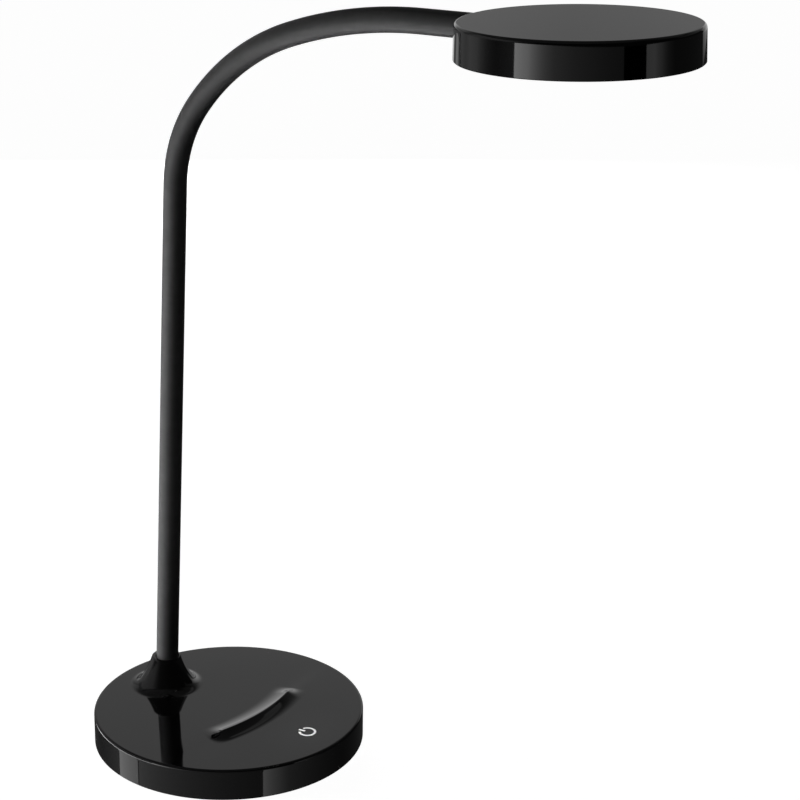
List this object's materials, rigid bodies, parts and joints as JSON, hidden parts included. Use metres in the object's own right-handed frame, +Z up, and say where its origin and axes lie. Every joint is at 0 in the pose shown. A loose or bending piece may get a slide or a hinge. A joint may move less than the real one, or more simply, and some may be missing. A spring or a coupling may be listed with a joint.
{
  "type": "gooseneck desk lamp",
  "caption": "Round weighted base with a touch mark and a phone ridge, a bendable sleeved gooseneck and a flat round light head.",
  "frame": {"origin": "middle of the base's underside, on the desk", "axes": "+Z up; +X from the neck's foot towards the head, in the plane of the neck; +Y to the lamp's left side"},
  "size_m": [0.3627, 0.16, 0.4518],
  "materials": {
    "foam": "closed-cell foam, matt",
    "pan_plastic": "moulded, fine matt texture",
    "steel": "zinc-plated screws",
    "ballast": "punched steel disc, dull",
    "gloss_cover": "polished black moulding",
    "plated_steel": "bright zinc plate",
    "circuit_board": "green solder mask",
    "electronic_parts": "moulded component bodies",
    "spring_wire": "bright wire",
    "inlet_plastic": "moulded black housing",
    "plated_brass": "nickel-plated pin",
    "lead_insulation": "PVC insulation",
    "core_steel": "coiled spring steel",
    "sleeve_silicone": "satin silicone",
    "bare_aluminium": "turned ring",
    "strip_film": "white flexible circuit",
    "led_phosphor": "yellow phosphor",
    "white_sheet": "white reflector film",
    "clear_acrylic": "clear moulded acrylic",
    "opal_acrylic": "opal, satin face",
    "bezel_plastic": "black moulding"
  },
  "bodies": {
    "base": {"foot_pad": "foam", "base_pan": "pan_plastic", "pan_screws": "steel", "base_weight": "ballast", "weight_screws": "steel", "base_cover": "gloss_cover", "neck_foot": "plated_steel", "neck_washer": "plated_steel", "neck_nut": "plated_steel", "control_board": "circuit_board", "board_parts": "electronic_parts", "board_screws": "steel", "touch_spring": "spring_wire", "power_jack": "inlet_plastic", "jack_pin": "plated_brass", "power_leads": "lead_insulation", "lamp_leads": "lead_insulation", "core_0": "core_steel"},
    "neck_1": {"core_1": "core_steel", "sleeve_1": "sleeve_silicone", "leads_1": "lead_insulation"},
    "neck_2": {"core_2": "core_steel", "sleeve_2": "sleeve_silicone", "leads_2": "lead_insulation"},
    "neck_3": {"core_3": "core_steel", "sleeve_3": "sleeve_silicone", "leads_3": "lead_insulation"},
    "neck_4": {"core_4": "core_steel", "sleeve_4": "sleeve_silicone", "leads_4": "lead_insulation"},
    "neck_5": {"core_5": "core_steel", "sleeve_5": "sleeve_silicone", "leads_5": "lead_insulation"},
    "neck_6": {"core_6": "core_steel", "sleeve_6": "sleeve_silicone", "leads_6": "lead_insulation"},
    "neck_7": {"core_7": "core_steel", "sleeve_7": "sleeve_silicone", "leads_7": "lead_insulation"},
    "head": {"core_8": "core_steel", "sleeve_8": "sleeve_silicone", "leads_8": "lead_insulation", "head_shell": "gloss_cover", "head_ferrule": "plated_steel", "neck_strap": "plated_steel", "strap_screws": "steel", "heat_ring": "bare_aluminium", "ring_screws": "steel", "led_strip": "strip_film", "leds": "led_phosphor", "reflector": "white_sheet", "light_guide": "clear_acrylic", "diffuser": "opal_acrylic", "bezel": "bezel_plastic", "head_leads": "lead_insulation"}
  },
  "joints": [
    {"name": "foot_tilt", "type": "hinge", "parent": "base", "child": "neck_1", "pos_m": [-0.04649, 0, 0.07124], "axis": [0, 1, 0], "range_deg": [-15, 15], "deforming": ["sleeve_1", "leads_1"]},
    {"name": "foot_sway", "type": "hinge", "parent": "neck_1", "child": "neck_2", "pos_m": [-0.04288, 0, 0.14587], "axis": [0.9988, 0, -0.0483], "range_deg": [-15, 15], "deforming": ["sleeve_2", "leads_2"]},
    {"name": "stem_tilt", "type": "hinge", "parent": "neck_2", "child": "neck_3", "pos_m": [-0.03927, 0, 0.22049], "axis": [0, 1, 0], "range_deg": [-15, 15], "deforming": ["sleeve_3", "leads_3"]},
    {"name": "stem_sway", "type": "hinge", "parent": "neck_3", "child": "neck_4", "pos_m": [-0.03565, 0, 0.29512], "axis": [0.9988, 0, -0.0483], "range_deg": [-15, 15], "deforming": ["sleeve_4", "leads_4"]},
    {"name": "bend_tilt", "type": "hinge", "parent": "neck_4", "child": "neck_5", "pos_m": [-0.02884, 0, 0.35695], "axis": [0, 1, 0], "range_deg": [-15, 15], "deforming": ["sleeve_5", "leads_5"]},
    {"name": "crown_tilt", "type": "hinge", "parent": "neck_5", "child": "neck_6", "pos_m": [0.01185, 0, 0.40639], "axis": [0, 1, 0], "range_deg": [-15, 15], "deforming": ["sleeve_6", "leads_6"]},
    {"name": "crown_sway", "type": "hinge", "parent": "neck_6", "child": "neck_7", "pos_m": [0.08855, 0, 0.43619], "axis": [0.184, 0, -0.9829], "range_deg": [-15, 15], "deforming": ["sleeve_7", "leads_7"]},
    {"name": "head_tilt", "type": "hinge", "parent": "neck_7", "child": "head", "pos_m": [0.14642, 0, 0.44112], "axis": [0, 1, 0], "range_deg": [-15, 15], "deforming": ["sleeve_8", "leads_8"]}
  ]
}
